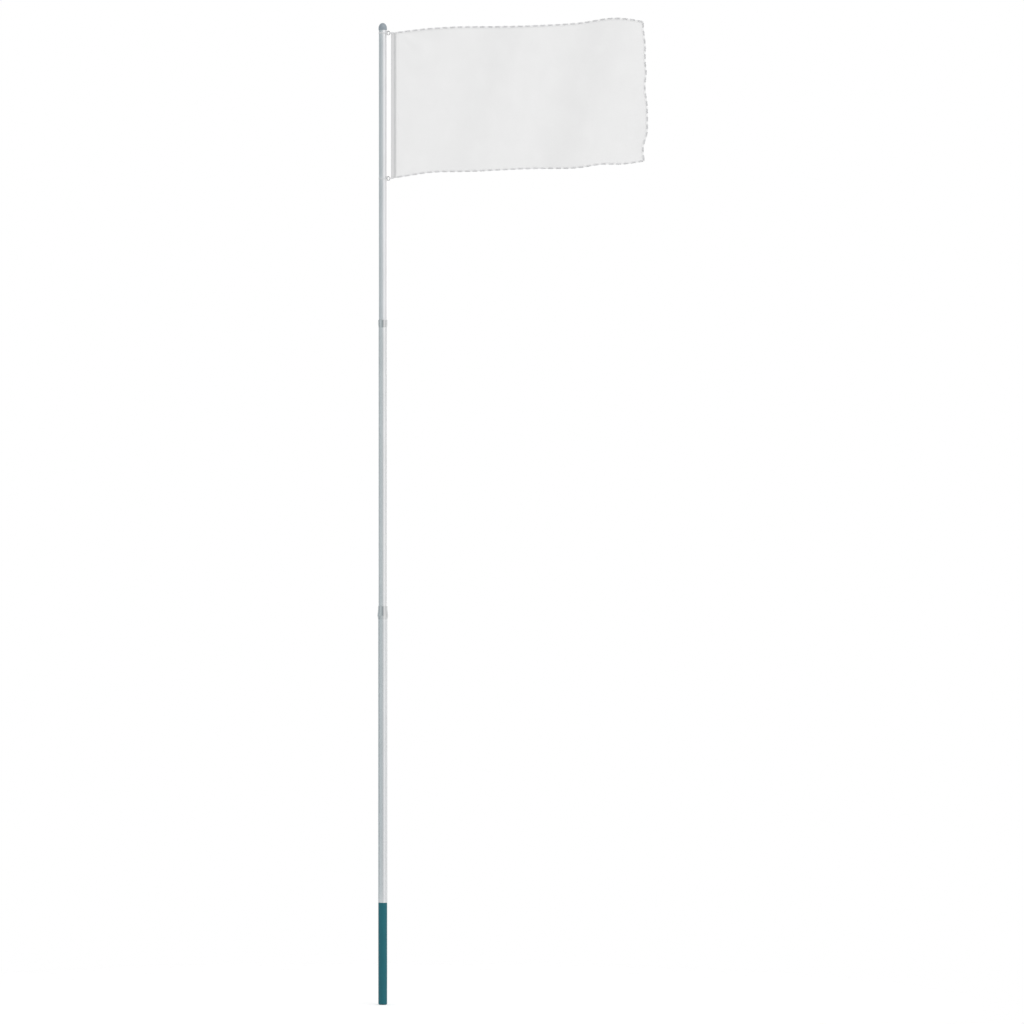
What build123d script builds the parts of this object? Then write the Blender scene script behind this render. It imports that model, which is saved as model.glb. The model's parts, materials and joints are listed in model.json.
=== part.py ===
from build123d import *
import math
import os

# A telescopic flagpole with its flag, in millimetres.
# The origin is the centre of the flat foot, +Z runs up the pole, +X points along the flag.

# Heights up the pole
POLE_TOP = 6000.0
GROUND_TUBE_TOP = 624.0
LOWER_COLLAR_BOTTOM = 2356.0
LOWER_COLLAR_TOP = 2436.0
UPPER_COLLAR_BOTTOM = 4139.0
UPPER_COLLAR_TOP = 4185.0
CAP_BOTTOM = 5956.0
UPPER_RING_HEIGHT = 5938.0
LOWER_RING_HEIGHT = 5048.0

# Tube sizes
GROUND_TUBE_RADIUS = 27.2
GROUND_TUBE_WALL = 1.6
LOWER_TUBE_RADIUS = 27.7
LOWER_TUBE_WALL = 1.5
MIDDLE_TUBE_RADIUS = 25.1
MIDDLE_TUBE_WALL = 1.2
TOP_TUBE_RADIUS = 23.4
TOP_TUBE_WALL = 1.2
RIM_CHAMFER = 0.4

# Gaps: a slide gap is between two pieces that move, a fit gap between two that stay together
SLIDE_GAP = 0.4
FIT_GAP = 0.05

# The closed foot of the ground tube
FOOT_HEIGHT = 24.0
FOOT_EDGE_RADIUS = 9.0
FOOT_PLUG_DEPTH = 30.0
FOOT_PLUG_WALL = 3.0

# The coupling on which the lower tube stands
COUPLING_FLANGE = 4.0
COUPLING_SKIRT_DEPTH = 110.0
COUPLING_SPIGOT_HEIGHT = 150.0
COUPLING_WALL = 2.4
COUPLING_LEAD = 1.2

# Collars that clamp one tube on the next
LOWER_COLLAR_RIM_HEIGHT = 31.0
LOWER_COLLAR_NECK_RADIUS = 28.1
LOWER_COLLAR_NECK_HEIGHT = 68.0
LOWER_COLLAR_RIDGE_RADIUS = 32.1
LOWER_COLLAR_RIDGE_HEIGHT = 22.0
LOWER_COLLAR_RIDGE_FLARE = 0.08
LOWER_COLLAR_HEM_RADIUS = 28.3
UPPER_COLLAR_RIM_HEIGHT = 15.0
UPPER_COLLAR_RADIUS = 27.5
UPPER_COLLAR_SHOULDER = 24.0
UPPER_COLLAR_HEM_RADIUS = 25.5
UPPER_COLLAR_HEM_TAPER = 0.09
COLLAR_EDGE = 0.8

# How far each tube reaches down into the one below
MIDDLE_TUBE_OVERLAP = 160.0
TOP_TUBE_OVERLAP = 150.0
GUIDE_FLANGE = 8.0
GUIDE_STEM = 25.0
GUIDE_WALL = 3.0

# The cap
CAP_RADIUS = 25.7
CAP_DOME = 33.0
CAP_DOME_POINTS = 6
CAP_SOCKET_DEPTH = 20.0
CAP_HEM = 0.8

# Ends and bores of the tubes, worked out from the values above
LOWER_TUBE_BOTTOM = GROUND_TUBE_TOP + COUPLING_FLANGE
LOWER_TUBE_TOP = LOWER_COLLAR_TOP - LOWER_COLLAR_RIM_HEIGHT
LOWER_TUBE_BORE = LOWER_TUBE_RADIUS - LOWER_TUBE_WALL
MIDDLE_TUBE_BOTTOM = LOWER_TUBE_TOP - MIDDLE_TUBE_OVERLAP
MIDDLE_TUBE_TOP = UPPER_COLLAR_TOP - UPPER_COLLAR_RIM_HEIGHT
MIDDLE_TUBE_BORE = MIDDLE_TUBE_RADIUS - MIDDLE_TUBE_WALL
TOP_TUBE_BOTTOM = MIDDLE_TUBE_TOP - TOP_TUBE_OVERLAP
TOP_TUBE_TOP = CAP_BOTTOM + CAP_SOCKET_DEPTH
TOP_TUBE_BORE = TOP_TUBE_RADIUS - TOP_TUBE_WALL

# Swivel rings and the links that tie the flag to them
RING_WALL = 1.2
RING_WIDTH = 8.0
LUG_REACH = 27.2
LUG_RADIUS = 4.2
LUG_HOLE_RADIUS = 2.1
LUG_THICKNESS = 3.0
LINK_WIRE_RADIUS = 1.5
LINK_WIDTH = 17.5
LINK_HEIGHT = 25.0
LINK_CORNER = 3.0
LINK_GAP = 3.0
LINK_NUT_RADIUS = 2.6
LINK_NUT_LENGTH = 7.0
UPPER_LINK_LEAN = 0.0
LOWER_LINK_LEAN = 8.0
TAB_WIDTH = 11.0
TAB_THICKNESS = 1.2
TAB_LENGTH = 20.0
TAB_GAP = 0.15

# The flag: its header tape stands beside the pole, and the cloth is sewn to the tape
HEADER_INNER = 50.7
HEADER_OUTER = 83.0
HEADER_THICKNESS = 3.2
HEADER_CORD_RADIUS = 2.6
CLOTH_THICKNESS = 2.0
CLOTH_MARGIN = 10.0
RIPPLE_START = 90.0
RIPPLE_LENGTH = 640.0
RIPPLE_REACH = 34.0
RIPPLE_LEAN = 0.30
RIPPLE_STEPS = 16

# Outline of the flag's three free edges, as distance from the pole's axis and height
CLOTH_TOP_EDGE = [
    (HEADER_OUTER, 5944.0),
    (250.0, 5964.0),
    (520.0, 5979.0),
    (870.0, 5981.0),
    (1090.0, 5995.0),
    (1250.0, 6010.0),
    (1400.0, 6029.0),
    (1593.0, 6008.0),
]
CLOTH_FLY_EDGE = [
    (1593.0, 6008.0),
    (1596.0, 5950.0),
    (1606.0, 5860.0),
    (1606.0, 5765.0),
    (1612.0, 5691.0),
    (1605.0, 5630.0),
    (1617.0, 5510.0),
    (1620.0, 5400.0),
    (1616.0, 5320.0),
    (1596.0, 5250.0),
    (1602.0, 5158.0),
]
CLOTH_BOTTOM_EDGE = [
    (1602.0, 5158.0),
    (1440.0, 5136.0),
    (1340.0, 5134.0),
    (1230.0, 5117.0),
    (1110.0, 5109.0),
    (970.0, 5111.0),
    (830.0, 5107.0),
    (620.0, 5094.0),
    (460.0, 5090.0),
    (300.0, 5087.0),
    (180.0, 5070.0),
    (HEADER_OUTER, 5054.0),
]
HEADER_TOP = 5937.0
HEADER_BOTTOM = 5050.0


def turned(outline):
    """A solid of revolution about the pole's axis, from a closed outline of radius and height."""
    return revolve(Plane.XZ * make_face(outline), Axis.Z)


def tube(radius, wall, bottom, top):
    """A plain tube with eased rims."""
    inner = radius - wall
    section = Polyline(
        (inner + RIM_CHAMFER, bottom),
        (radius - RIM_CHAMFER, bottom),
        (radius, bottom + RIM_CHAMFER),
        (radius, top - RIM_CHAMFER),
        (radius - RIM_CHAMFER, top),
        (inner + RIM_CHAMFER, top),
        (inner, top - RIM_CHAMFER),
        (inner, bottom + RIM_CHAMFER),
        close=True,
    )
    return turned(section)


def foot_cap():
    """The closed foot: a rounded shoe as wide as the ground tube, with a hollow plug inside the tube."""
    plug = GROUND_TUBE_RADIUS - GROUND_TUBE_WALL - FIT_GAP
    inner = plug - FOOT_PLUG_WALL
    floor = FOOT_HEIGHT - FOOT_PLUG_WALL
    plug_top = FOOT_HEIGHT + FOOT_PLUG_DEPTH
    flat = GROUND_TUBE_RADIUS - FOOT_EDGE_RADIUS
    edge = RadiusArc((flat, 0), (GROUND_TUBE_RADIUS, FOOT_EDGE_RADIUS), -FOOT_EDGE_RADIUS)
    rest = Polyline(
        (GROUND_TUBE_RADIUS, FOOT_EDGE_RADIUS),
        (GROUND_TUBE_RADIUS, FOOT_HEIGHT),
        (plug, FOOT_HEIGHT),
        (plug, plug_top - RIM_CHAMFER),
        (plug - RIM_CHAMFER, plug_top),
        (inner, plug_top),
        (inner, floor),
        (0, floor),
        (0, 0),
        (flat, 0),
    )
    return turned(edge + rest)


def coupling():
    """The joint between ground tube and pole: a skirt, a flange that carries the pole, and a spigot."""
    skirt = GROUND_TUBE_RADIUS - GROUND_TUBE_WALL - FIT_GAP
    spigot = LOWER_TUBE_BORE - SLIDE_GAP
    inner = skirt - COUPLING_WALL
    bottom = GROUND_TUBE_TOP - COUPLING_SKIRT_DEPTH
    top = LOWER_TUBE_BOTTOM + COUPLING_SPIGOT_HEIGHT
    section = Polyline(
        (inner, bottom),
        (skirt - COUPLING_LEAD, bottom),
        (skirt, bottom + COUPLING_LEAD),
        (skirt, GROUND_TUBE_TOP),
        (GROUND_TUBE_RADIUS, GROUND_TUBE_TOP),
        (GROUND_TUBE_RADIUS, LOWER_TUBE_BOTTOM),
        (spigot, LOWER_TUBE_BOTTOM),
        (spigot, top - COUPLING_LEAD),
        (spigot - COUPLING_LEAD, top),
        (inner, top),
        close=True,
    )
    return turned(section)


def lower_collar():
    """A bell-shaped collar: it sits over the lower tube's rim and guides the middle tube."""
    socket = LOWER_TUBE_RADIUS + FIT_GAP
    bore = MIDDLE_TUBE_RADIUS + SLIDE_GAP
    neck = (LOWER_COLLAR_NECK_RADIUS, LOWER_COLLAR_BOTTOM + LOWER_COLLAR_NECK_HEIGHT)
    ridge = (LOWER_COLLAR_RIDGE_RADIUS, LOWER_COLLAR_BOTTOM + LOWER_COLLAR_RIDGE_HEIGHT)
    bell = Spline(neck, ridge, tangents=[(0, -1), (LOWER_COLLAR_RIDGE_FLARE, -1)])
    rest = Polyline(
        ridge,
        (LOWER_COLLAR_HEM_RADIUS, LOWER_COLLAR_BOTTOM),
        (socket, LOWER_COLLAR_BOTTOM),
        (socket, LOWER_TUBE_TOP),
        (bore, LOWER_TUBE_TOP),
        (bore, LOWER_COLLAR_TOP),
        (LOWER_COLLAR_NECK_RADIUS - COLLAR_EDGE, LOWER_COLLAR_TOP),
        (LOWER_COLLAR_NECK_RADIUS, LOWER_COLLAR_TOP - COLLAR_EDGE),
        neck,
    )
    return turned(bell + rest)


def upper_collar():
    """A straight collar with a rounded shoulder below: it sits over the middle tube's rim."""
    socket = MIDDLE_TUBE_RADIUS + FIT_GAP
    bore = TOP_TUBE_RADIUS + SLIDE_GAP
    shoulder = (UPPER_COLLAR_RADIUS, UPPER_COLLAR_BOTTOM + UPPER_COLLAR_SHOULDER)
    hem = (UPPER_COLLAR_HEM_RADIUS, UPPER_COLLAR_BOTTOM)
    curve = Spline(shoulder, hem, tangents=[(0, -1), (-UPPER_COLLAR_HEM_TAPER, -1)])
    rest = Polyline(
        hem,
        (socket, UPPER_COLLAR_BOTTOM),
        (socket, MIDDLE_TUBE_TOP),
        (bore, MIDDLE_TUBE_TOP),
        (bore, UPPER_COLLAR_TOP),
        (UPPER_COLLAR_RADIUS - COLLAR_EDGE, UPPER_COLLAR_TOP),
        (UPPER_COLLAR_RADIUS, UPPER_COLLAR_TOP - COLLAR_EDGE),
        shoulder,
    )
    return turned(curve + rest)


def guide_plug(outer_bore, own_bore, tube_bottom):
    """The plug at a sliding tube's foot: a hollow stem inside it, and a flange that guides it."""
    flange = outer_bore - SLIDE_GAP
    stem = own_bore - FIT_GAP
    hollow = stem - GUIDE_WALL
    bottom = tube_bottom - GUIDE_FLANGE
    section = Polyline(
        (hollow, bottom),
        (flange - COLLAR_EDGE, bottom),
        (flange, bottom + COLLAR_EDGE),
        (flange, tube_bottom),
        (stem, tube_bottom),
        (stem, tube_bottom + GUIDE_STEM),
        (hollow, tube_bottom + GUIDE_STEM),
        close=True,
    )
    return turned(section)


def top_cap():
    """The domed cap that closes the top tube."""
    socket = TOP_TUBE_RADIUS + FIT_GAP
    shoulder = POLE_TOP - CAP_DOME
    angles = [math.pi / 2 * i / CAP_DOME_POINTS for i in range(CAP_DOME_POINTS)]
    points = [(CAP_RADIUS * math.cos(a), shoulder + CAP_DOME * math.sin(a)) for a in angles]
    dome = Spline(points + [(0, POLE_TOP)], tangents=[(0, 1), (-1, 0)])
    rest = Polyline(
        (0, POLE_TOP),
        (0, TOP_TUBE_TOP),
        (socket, TOP_TUBE_TOP),
        (socket, CAP_BOTTOM),
        (CAP_RADIUS - CAP_HEM, CAP_BOTTOM),
        (CAP_RADIUS, CAP_BOTTOM + CAP_HEM),
        (CAP_RADIUS, shoulder),
    )
    return turned(dome + rest)


def swivel_ring(height):
    """A ring that turns on the top tube, with a flat lug for the flag's link."""
    bore = TOP_TUBE_RADIUS + SLIDE_GAP
    outer = bore + RING_WALL
    lug_box = Pos(LUG_REACH / 2, 0, height) * Box(LUG_REACH, 2 * LUG_RADIUS, LUG_THICKNESS)
    lug_tip = Pos(LUG_REACH, 0, height) * Cylinder(LUG_RADIUS, LUG_THICKNESS)
    band = Pos(0, 0, height) * Cylinder(outer, RING_WIDTH)
    band = chamfer(band.edges().filter_by(GeomType.CIRCLE), RIM_CHAMFER)
    bore_cut = Pos(0, 0, height) * Cylinder(bore, 2 * RING_WIDTH)
    hole = Pos(LUG_REACH, 0, height) * Cylinder(LUG_HOLE_RADIUS, 2 * RING_WIDTH)
    return band + lug_box + lug_tip - bore_cut - hole


def link_frame(height, lean):
    """The link's own plane: its origin is the centre of the lug's hole, and it leans about that point."""
    return Pos(LUG_REACH, 0, height) * Rot(0, -lean, 0)


def link_wire(height, lean):
    """A wire loop through the lug and the tab, open on its upper side under the nut."""
    width = LINK_WIDTH - 2 * LINK_WIRE_RADIUS
    tall = LINK_HEIGHT - 2 * LINK_WIRE_RADIUS
    half = tall / 2
    path = Polyline(
        (width / 2 + LINK_GAP / 2, 0, half),
        (width, 0, half),
        (width, 0, -half),
        (0, 0, -half),
        (0, 0, half),
        (width / 2 - LINK_GAP / 2, 0, half),
    )
    inner_corners = path.vertices()[1:-1]
    path = fillet(inner_corners, LINK_CORNER)
    section = Plane(path @ 0, z_dir=path % 0) * Circle(LINK_WIRE_RADIUS)
    return link_frame(height, lean) * sweep(section, path=path)


def link_nut(height, lean):
    """The hexagonal nut that closes the link's gap."""
    width = LINK_WIDTH - 2 * LINK_WIRE_RADIUS
    half = LINK_HEIGHT / 2 - LINK_WIRE_RADIUS
    nut = extrude(RegularPolygon(LINK_NUT_RADIUS, 6), LINK_NUT_LENGTH / 2, both=True)
    nut -= Cylinder(LINK_WIRE_RADIUS + FIT_GAP, 2 * LINK_NUT_LENGTH)
    return link_frame(height, lean) * Pos(width / 2, 0, half) * Rot(0, 90, 0) * nut


def webbing_tab(height, lean):
    """A loop of webbing round the link's far side, sewn into the header's corner."""
    wire_x = LINK_WIDTH - 2 * LINK_WIRE_RADIUS
    hole = LINK_WIRE_RADIUS + TAB_GAP
    eye = Circle(hole + TAB_THICKNESS)
    strap = Pos(TAB_LENGTH / 2, 0) * Rectangle(TAB_LENGTH, 2 * TAB_THICKNESS)
    outline = eye + strap - Circle(hole)
    loop = extrude(outline, TAB_WIDTH / 2, both=True)
    placed = link_frame(height, lean) * Pos(wire_x, 0, 0) * loop
    return split(placed, bisect_by=Plane.YZ.offset(HEADER_INNER), keep=Keep.BOTTOM)


def header_tape():
    """The strong tape along the flag's pole side, with its slanted ends."""
    outline = Polyline(
        (HEADER_INNER + 2 * HEADER_CORD_RADIUS, HEADER_BOTTOM),
        (HEADER_OUTER, CLOTH_BOTTOM_EDGE[-1][1]),
        (HEADER_OUTER, CLOTH_TOP_EDGE[0][1]),
        (HEADER_INNER + 2 * HEADER_CORD_RADIUS, HEADER_TOP),
        close=True,
    )
    return extrude(Plane.XZ * make_face(outline), HEADER_THICKNESS / 2, both=True)


def header_cord():
    """The corded edge of the header."""
    tall = HEADER_TOP - HEADER_BOTTOM
    axis_x = HEADER_INNER + HEADER_CORD_RADIUS
    cord = Pos(axis_x, 0, HEADER_BOTTOM + tall / 2) * Cylinder(HEADER_CORD_RADIUS, tall)
    return fillet(cord.edges().filter_by(GeomType.CIRCLE), RIM_CHAMFER)


def ripple(distance, side):
    """One point on a face of the rippled cloth, at a distance along the flag."""
    run = distance - RIPPLE_START
    growth = min(1.0, max(0.0, run) / RIPPLE_LENGTH)
    turn = 2 * math.pi * max(0.0, run) / RIPPLE_LENGTH
    reach = RIPPLE_REACH * growth
    slope = reach * math.cos(turn) * 2 * math.pi / RIPPLE_LENGTH
    middle = reach * math.sin(turn)
    offset = side * CLOTH_THICKNESS / 2 * math.sqrt(1 + slope * slope)
    return (distance, middle + offset)


def flag_cloth():
    """The cloth: a rippled band that leans as it rises, cut to the flag's outline."""
    low = CLOTH_BOTTOM_EDGE[-1][1] - CLOTH_MARGIN
    high = max(height for _, height in CLOTH_TOP_EDGE) + CLOTH_MARGIN
    first = HEADER_OUTER - RIPPLE_LEAN * (high - low) - CLOTH_MARGIN
    last = max(distance for distance, _ in CLOTH_FLY_EDGE) + CLOTH_MARGIN
    steps = round((last - first) / (RIPPLE_LENGTH / RIPPLE_STEPS))
    distances = [first + (last - first) * i / steps for i in range(steps + 1)]
    front = Spline([ripple(d, -1) for d in distances])
    back = Spline([ripple(d, 1) for d in distances])
    closed = front + Line(front @ 1, back @ 1) + back + Line(back @ 0, front @ 0)
    slant = (high - low) * math.sqrt(1 + RIPPLE_LEAN**2)
    band = extrude(make_face(closed), dir=(RIPPLE_LEAN, 0, 1), amount=slant)
    band = Pos(0, 0, low) * band
    edge = Spline(CLOTH_TOP_EDGE) + Spline(CLOTH_FLY_EDGE) + Spline(CLOTH_BOTTOM_EDGE)
    edge += Line(CLOTH_BOTTOM_EDGE[-1], CLOTH_TOP_EDGE[0])
    window = extrude(Plane.XZ * make_face(edge), 2 * RIPPLE_REACH, both=True)
    return band & window


def write(name, shape):
    solids = shape.solids()
    export_step(solids[0] if len(solids) == 1 else shape, f"parts/{name}.step")


os.makedirs("parts", exist_ok=True)

write("foot_cap", foot_cap())
write("ground_tube", tube(GROUND_TUBE_RADIUS, GROUND_TUBE_WALL, FOOT_HEIGHT, GROUND_TUBE_TOP))
write("ground_coupling", coupling())
write("lower_tube", tube(LOWER_TUBE_RADIUS, LOWER_TUBE_WALL, LOWER_TUBE_BOTTOM, LOWER_TUBE_TOP))
write("lower_collar", lower_collar())
write("middle_tube", tube(MIDDLE_TUBE_RADIUS, MIDDLE_TUBE_WALL, MIDDLE_TUBE_BOTTOM, MIDDLE_TUBE_TOP))
write("middle_guide", guide_plug(LOWER_TUBE_BORE, MIDDLE_TUBE_BORE, MIDDLE_TUBE_BOTTOM))
write("upper_collar", upper_collar())
write("top_tube", tube(TOP_TUBE_RADIUS, TOP_TUBE_WALL, TOP_TUBE_BOTTOM, TOP_TUBE_TOP))
write("top_guide", guide_plug(MIDDLE_TUBE_BORE, TOP_TUBE_BORE, TOP_TUBE_BOTTOM))
write("top_cap", top_cap())
for place, height, lean in (
    ("upper", UPPER_RING_HEIGHT, UPPER_LINK_LEAN),
    ("lower", LOWER_RING_HEIGHT, LOWER_LINK_LEAN),
):
    write(f"{place}_swivel_ring", swivel_ring(height))
    write(f"{place}_link", link_wire(height, lean))
    write(f"{place}_link_nut", link_nut(height, lean))
    write(f"{place}_tab", webbing_tab(height, lean))
write("header_tape", header_tape())
write("header_cord", header_cord())
write("flag_cloth", flag_cloth())
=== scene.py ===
import json
import math

import bmesh
import bpy
import numpy as np
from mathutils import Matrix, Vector, noise


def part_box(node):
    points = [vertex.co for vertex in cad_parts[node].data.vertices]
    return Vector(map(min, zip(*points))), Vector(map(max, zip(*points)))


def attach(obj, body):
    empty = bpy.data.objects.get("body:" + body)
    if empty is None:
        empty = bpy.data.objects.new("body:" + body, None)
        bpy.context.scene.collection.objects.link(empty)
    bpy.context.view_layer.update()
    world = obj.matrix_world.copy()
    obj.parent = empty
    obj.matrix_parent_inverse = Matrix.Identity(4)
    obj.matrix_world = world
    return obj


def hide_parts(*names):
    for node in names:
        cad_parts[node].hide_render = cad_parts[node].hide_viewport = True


# The looks of a telescopic flagpole with a plain flag. Lengths are metres, in the frame of the CAD.
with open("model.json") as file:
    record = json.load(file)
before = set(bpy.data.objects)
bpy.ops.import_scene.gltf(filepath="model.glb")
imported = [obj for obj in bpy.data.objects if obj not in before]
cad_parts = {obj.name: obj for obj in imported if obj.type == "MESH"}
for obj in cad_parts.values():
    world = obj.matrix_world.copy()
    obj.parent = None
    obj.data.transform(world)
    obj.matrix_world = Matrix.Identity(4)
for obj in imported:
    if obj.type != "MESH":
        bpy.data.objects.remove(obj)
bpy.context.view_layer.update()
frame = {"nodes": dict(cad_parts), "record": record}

# The photograph's frame: what lies at its middle, and how much it takes in at the pole
VIEW_CENTRE = Vector((0.790, 0.0, 3.011))
VIEW_SPAN = 6.258
CAMERA_DISTANCE = 40.0
CAMERA_SENSOR = 36.0
CAMERA_REACH = 200.0

# The one lamp: where it shines from, its strength, how wide it looks in degrees, and its distance
KEY_DIRECTION = (0.65, -0.75, 0.9)
KEY_STRENGTH = 0.70
KEY_WIDTH = 45
KEY_DISTANCE = 10.0

# Turned pieces: how finely they are divided, and how thick the tubes' walls are
TURN_SEGMENTS = 128
TUBE_RINGS = 24
RIM_STEPS = 4
GROUND_TUBE_WALL = 0.0016
LOWER_TUBE_WALL = 0.0015
UPPER_TUBE_WALL = 0.0012

# The cap: how high its dome stands, how deep and wide its socket is, how round its hem is, and the
# angle in degrees from which an edge stays sharp
CAP_DOME = 0.033
CAP_DOME_STEPS = 20
CAP_SOCKET_DEPTH = 0.020
CAP_SOCKET_RADIUS = 0.02345
CAP_HEM = 0.0008
CAP_SHARP_ANGLE = 40

# The cloth's ripples, as the flag's solid has them. They lean from a height a little below the
# cloth's lower tied corner.
RIPPLE_START = 0.090
RIPPLE_LENGTH = 0.640
RIPPLE_REACH = 0.034
RIPPLE_LEAN = 0.30
RIPPLE_DROP = 0.010

# Fine creases on top of them, folds that fan out from the tied corners, and a slow drift. The cloth
# lies calm for a width beside the header, and close to its corners.
CREASE_LENGTH = 0.21
CREASE_REACH = 0.0016
CREASE_LEAN = 0.55
CREASE_WANDER = 2.2
CORNER_FOLDS = 9
CORNER_FOLD_REACH = 0.0022
CORNER_FOLD_SPREAD = 0.22
CORNER_CALM = 0.05
DRIFT_SIZE = 0.16
DRIFT_REACH = 0.0035
CALM_WIDTH = 0.12

# The cloth, the step over which its slope is measured, and its folded hem, whose roll stands a
# little past the cloth's edge
CLOTH_THICKNESS = 0.0009
CLOTH_COLUMNS = 210
CLOTH_ROWS = 116
SLOPE_STEP = 0.001
HEM_WIDTH = 0.014
HEM_LIFT = 0.0011
HEM_ROLL = 0.0004
HEM_STEP = 0.006
EDGE_SAMPLES = 600

# The fine seams: how far inside the edge the hem's lies, a stitch's length, the gap to the next, and
# the thread's radius. A stitch's arc is in shares of its length and of that radius. A thread has so
# many sides, and thins at its ends to a share of its radius.
SEAM_INSET = 0.0120
SEAM_STITCH = 0.0034
SEAM_GAP = 0.0012
SEAM_THREAD = 0.00030
STITCH_ARC = [(-0.5, 0.0), (-0.3, 0.8), (0.3, 0.8), (0.5, 0.0)]
THREAD_SIDES = 4
THREAD_END = 0.45

# The bold bars of overlock thread along the free edges. Their wrap round the edge is given in
# shares of their depth, and in the thread's radii above the hem.
BAR_PERIOD = 0.0465
BAR_LENGTH = 0.0295
BAR_DEPTH = 0.0085
BAR_THREAD = 0.00078
BAR_SIDES = 5
BAR_SPACING = 0.00155
BAR_OVERHANG = 0.0012
BAR_WRAP = [(1.0, 0.3), (0.6, 0.9), (0.1, 0.7)]

# The header: a corded canvas tape. The arc that shows of its cord is in degrees: first, end and
# step. Its neck and its flat start at a number of the cord's radii from the cord's middle. The
# neck and the rounded edge are a share as thick as the flat. Its swell is a share of its thickness,
# with so many swells a metre across and up it.
HEADER_CORD = 0.0026
HEADER_HALF = 0.0014
HEADER_ARC = (40, 181, 20)
HEADER_NECK = (1.35, 0.92)
HEADER_FLAT = 2.4
HEADER_EDGE = 0.002
HEADER_EDGE_ROUND = (0.0005, 0.95)
HEADER_ROWS = 150
HEADER_SWELL = 0.05
HEADER_SWELLS = (40, 30)
ZIGZAG_INSET = 0.0088
ZIGZAG_WIDTH = 0.0095
ZIGZAG_PITCH = 0.0022
ZIGZAG_THREAD = 0.00050
ZIGZAG_RISE = 0.6
ZIGZAG_MARGIN = 0.004

# The flat seam that joins the cloth to the header: it starts tucked in beside the tape
FELL_WIDTH = 0.0145
FELL_LIFT = 0.0010
FELL_TUCK = 0.003
FELL_SLOPE = 0.001
FELL_ROUND = 0.0006
FELL_FOOT = 0.0002
FELL_MARGIN = 0.001
FELL_STITCHES = (0.0025, 0.0120)
FELL_STITCH_MARGIN = 0.004

# The links: how far from the pole's axis a lug holds one, how far from there its far wire is, and
# how far it leans, in degrees
LUG_REACH = 0.0272
LINK_SPAN = 0.0145
LINK_LEANS = {"upper": 0.0, "lower": 8.0}
# The webbing tabs: half their width, their thickness, the radius of the eye round the link's far
# wire and its arc in degrees, and how far from that wire they end on the header
TAB_HALF_WIDTH = 0.0055
TAB_THICKNESS = 0.0011
TAB_EYE = 0.0017
TAB_EYE_ARC = (90, 181, 15)
TAB_REACH = 0.0245
# How far off the header the tab's middle lies, in its thickness, over the cord and on the tape
TAB_OVER_CORD = 0.7
TAB_ON_TAPE = 0.6
# Where the tab's faces draw together, in shares of the run up to the header's cord, and where they
# come down from the cord to the tape, in the cord's radii
TAB_WAIST = 0.4
TAB_SLOPE = (1.5, 2.6)
# Half of a strap's section, in shares of its half width and half thickness, and its mirror
STRAP_SECTION = [(-1, 1), (-0.9, 1.15), (0.9, 1.15), (1, 1)]
STRAP_SECTION += [(edge, -out) for edge, out in STRAP_SECTION[::-1]]
# The box of stitches on a tab: where it starts, how far short of the tab's end it stops, its half
# height as a share of the tab's, and how far off the tape it lies, in the tab's thickness
TAB_BOX_START = 0.0197
TAB_BOX_STOP = 0.0008
TAB_BOX_RISE = 0.72
TAB_BOX_LIFT = 1.25
TAB_STITCH = 0.0016
TAB_STITCH_ARC = [(0.08, 0.0), (0.5, 0.00018), (0.92, 0.0)]
TAB_THREAD = 0.00028

# The outline of the flag's free edges: distance from the pole's axis, and height
CLOTH_TOP_EDGE = [
    (0.083, 5.944),
    (0.250, 5.964),
    (0.520, 5.979),
    (0.870, 5.981),
    (1.090, 5.995),
    (1.250, 6.010),
    (1.400, 6.029),
    (1.593, 6.008),
]
CLOTH_FLY_EDGE = [
    (1.593, 6.008),
    (1.596, 5.950),
    (1.606, 5.860),
    (1.606, 5.765),
    (1.612, 5.691),
    (1.605, 5.630),
    (1.617, 5.510),
    (1.620, 5.400),
    (1.616, 5.320),
    (1.596, 5.250),
    (1.602, 5.158),
]
CLOTH_BOTTOM_EDGE = [
    (0.083, 5.054),
    (0.180, 5.070),
    (0.300, 5.087),
    (0.460, 5.090),
    (0.620, 5.094),
    (0.830, 5.107),
    (0.970, 5.111),
    (1.110, 5.109),
    (1.230, 5.117),
    (1.340, 5.134),
    (1.440, 5.136),
    (1.602, 5.158),
]
HOIST_TOP = CLOTH_TOP_EDGE[0]
HOIST_LOW = CLOTH_BOTTOM_EDGE[0]
RIPPLE_FOOT = HOIST_LOW[1] - RIPPLE_DROP

# Where the CAD has the header
cord_low, cord_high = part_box("header_cord")
HEADER_LEFT = cord_low.x
HEADER_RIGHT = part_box("header_tape")[1].x

# Small enough to be nothing, in metres
TINY = 1e-6


def add_mesh(name, points, faces, smooth=True):
    """A mesh object with outward faces, in the shared frame."""
    mesh = bpy.data.meshes.new(name)
    mesh.from_pydata([tuple(p) for p in points], [], faces)
    work = bmesh.new()
    work.from_mesh(mesh)
    bmesh.ops.recalc_face_normals(work, faces=work.faces)
    work.to_mesh(mesh)
    work.free()
    mesh.polygons.foreach_set("use_smooth", [smooth] * len(mesh.polygons))
    piece = bpy.data.objects.new(name, mesh)
    bpy.context.scene.collection.objects.link(piece)
    return piece


def ring_faces(rings, size, closed_path, capped=False):
    """Quads between successive rings of points, each ring closed on itself."""
    faces = []
    spans = rings if closed_path else rings - 1
    for i in range(spans):
        here = i * size
        there = ((i + 1) % rings) * size
        for j in range(size):
            k = (j + 1) % size
            faces.append((here + j, here + k, there + k, there + j))
    if capped:
        faces.append(tuple(range(size)))
        faces.append(tuple(range((rings - 1) * size, rings * size)))
    return faces


def mirrored(front):
    """A closed outline from its front half: the same points again behind, in the other order."""
    return front + [(x, -y) for x, y in front[::-1] if y > TINY]


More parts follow.
